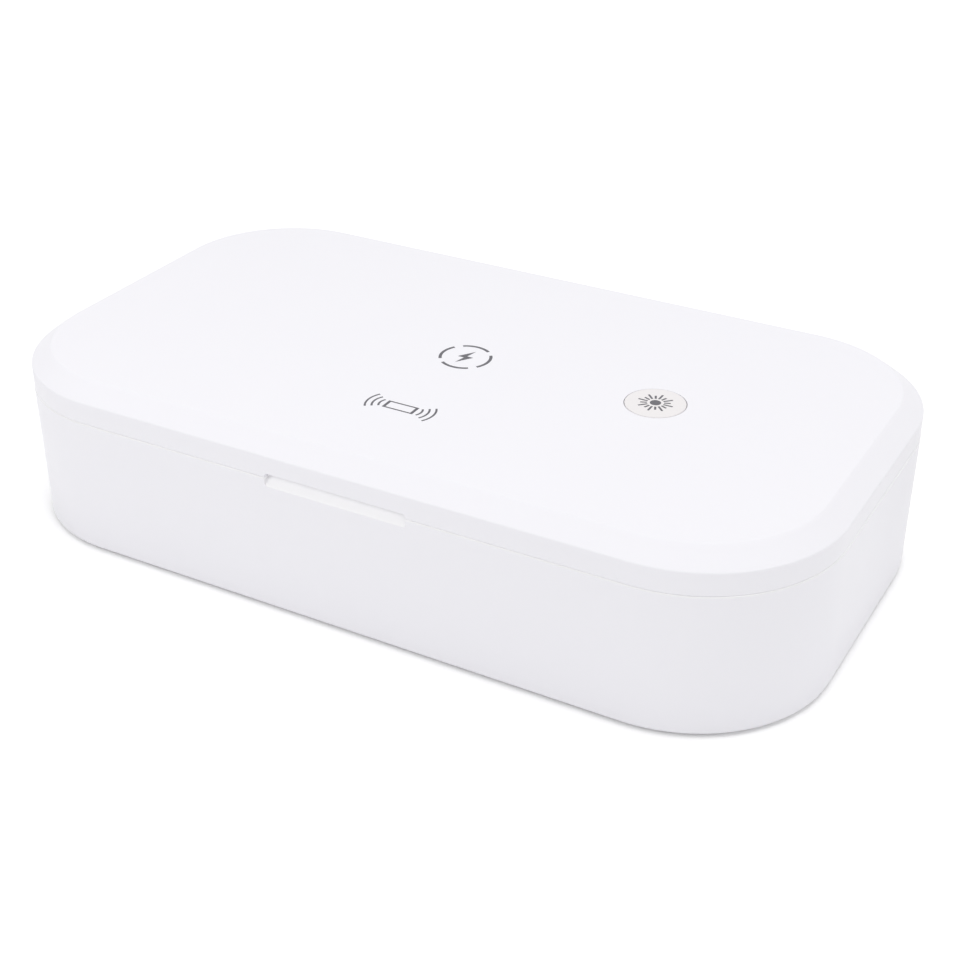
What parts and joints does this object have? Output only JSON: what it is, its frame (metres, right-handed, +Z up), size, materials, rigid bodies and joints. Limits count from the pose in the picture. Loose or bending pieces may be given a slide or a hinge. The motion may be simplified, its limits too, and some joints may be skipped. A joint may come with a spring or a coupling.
{
  "type": "uv sanitizer box for phones",
  "caption": "White rounded box with a hinged lid, a start button, lamps above and below the phone chamber, and a charging coil under the lid's top.",
  "frame": {"origin": "on the supporting surface, under the middle of the box", "axes": "+X along the long side towards the button, -Y towards the finger notch, +Z up"},
  "size_m": [0.228, 0.128, 0.049],
  "materials": {
    "shell_white": "satin white moulded plastic",
    "button_white": "satin white moulded plastic, a touch warmer",
    "liner_silver": "metallised plastic, satin silver",
    "window_clear": "clear, ultraviolet-passing cover",
    "lamp_glass": "clear quartz tube",
    "reflector_aluminium": "bright rolled sheet",
    "nickel": "nickel plated",
    "soft_silicone": "pale silicone",
    "foot_rubber": "dark grey rubber",
    "steel": "plain steel",
    "coil_copper": "enamelled copper wire",
    "ferrite": "dark sintered ferrite",
    "board_green": "green circuit board",
    "chip_black": "black moulded package",
    "cable_black": "dark cable jacket",
    "lead_white": "white insulated lead"
  },
  "bodies": {
    "base": {"base_shell": "shell_white", "bottom_cover": "shell_white", "chamber_liner": "liner_silver", "foot_front_left": "foot_rubber", "foot_front_right": "foot_rubber", "foot_back_left": "foot_rubber", "foot_back_right": "foot_rubber", "bottom_screw_front_left": "steel", "bottom_screw_front_right": "steel", "bottom_screw_back_left": "steel", "bottom_screw_back_right": "steel", "base_lamp": "lamp_glass", "base_reflector": "reflector_aluminium", "base_lamp_window": "window_clear", "base_lamp_cap_left": "nickel", "base_lamp_saddle_left": "soft_silicone", "base_lamp_lead_left": "lead_white", "hinge_pin_left": "steel", "board_screw_left": "steel", "base_magnet_left": "nickel", "base_lamp_cap_right": "nickel", "base_lamp_saddle_right": "soft_silicone", "base_lamp_lead_right": "lead_white", "hinge_pin_right": "steel", "board_screw_right": "steel", "base_magnet_right": "nickel", "main_board": "board_green", "usb_c_socket": "nickel", "ballast_transformer": "ferrite", "filter_capacitor": "nickel", "controller_chip": "chip_black", "lid_sensor_board": "board_green", "base_harness": "cable_black"},
    "lid": {"lid_shell": "shell_white", "lid_liner": "liner_silver", "lid_screw_front_left": "steel", "lid_screw_front_right": "steel", "lid_screw_back_left": "steel", "lid_screw_back_right": "steel", "lid_lamp": "lamp_glass", "lid_reflector": "reflector_aluminium", "lid_lamp_window": "window_clear", "lid_lamp_cap_left": "nickel", "lid_lamp_saddle_left": "soft_silicone", "lid_lamp_lead_left": "lead_white", "lid_magnet_left": "nickel", "lid_lamp_cap_right": "nickel", "lid_lamp_saddle_right": "soft_silicone", "lid_lamp_lead_right": "lead_white", "lid_magnet_right": "nickel", "charging_coil": "coil_copper", "coil_ferrite": "ferrite", "charging_board": "board_green", "charging_chip": "chip_black", "button_board": "board_green", "switch_body": "chip_black", "lid_harness": "cable_black"},
    "button": {"button_cap": "button_white", "switch_plunger": "soft_silicone"}
  },
  "joints": [
    {"name": "lid_hinge", "type": "hinge", "parent": "base", "child": "lid", "pos_m": [0, 0.0608, 0.0388], "axis": [-1, 0, 0], "range_deg": [0, 95]},
    {"name": "button_press", "type": "slide", "parent": "lid", "child": "button", "axis": [0, 0, -1], "range_m": [0, 0.0004], "stiffness_N_per_m": 400, "springref_m": -0.0005}
  ]
}
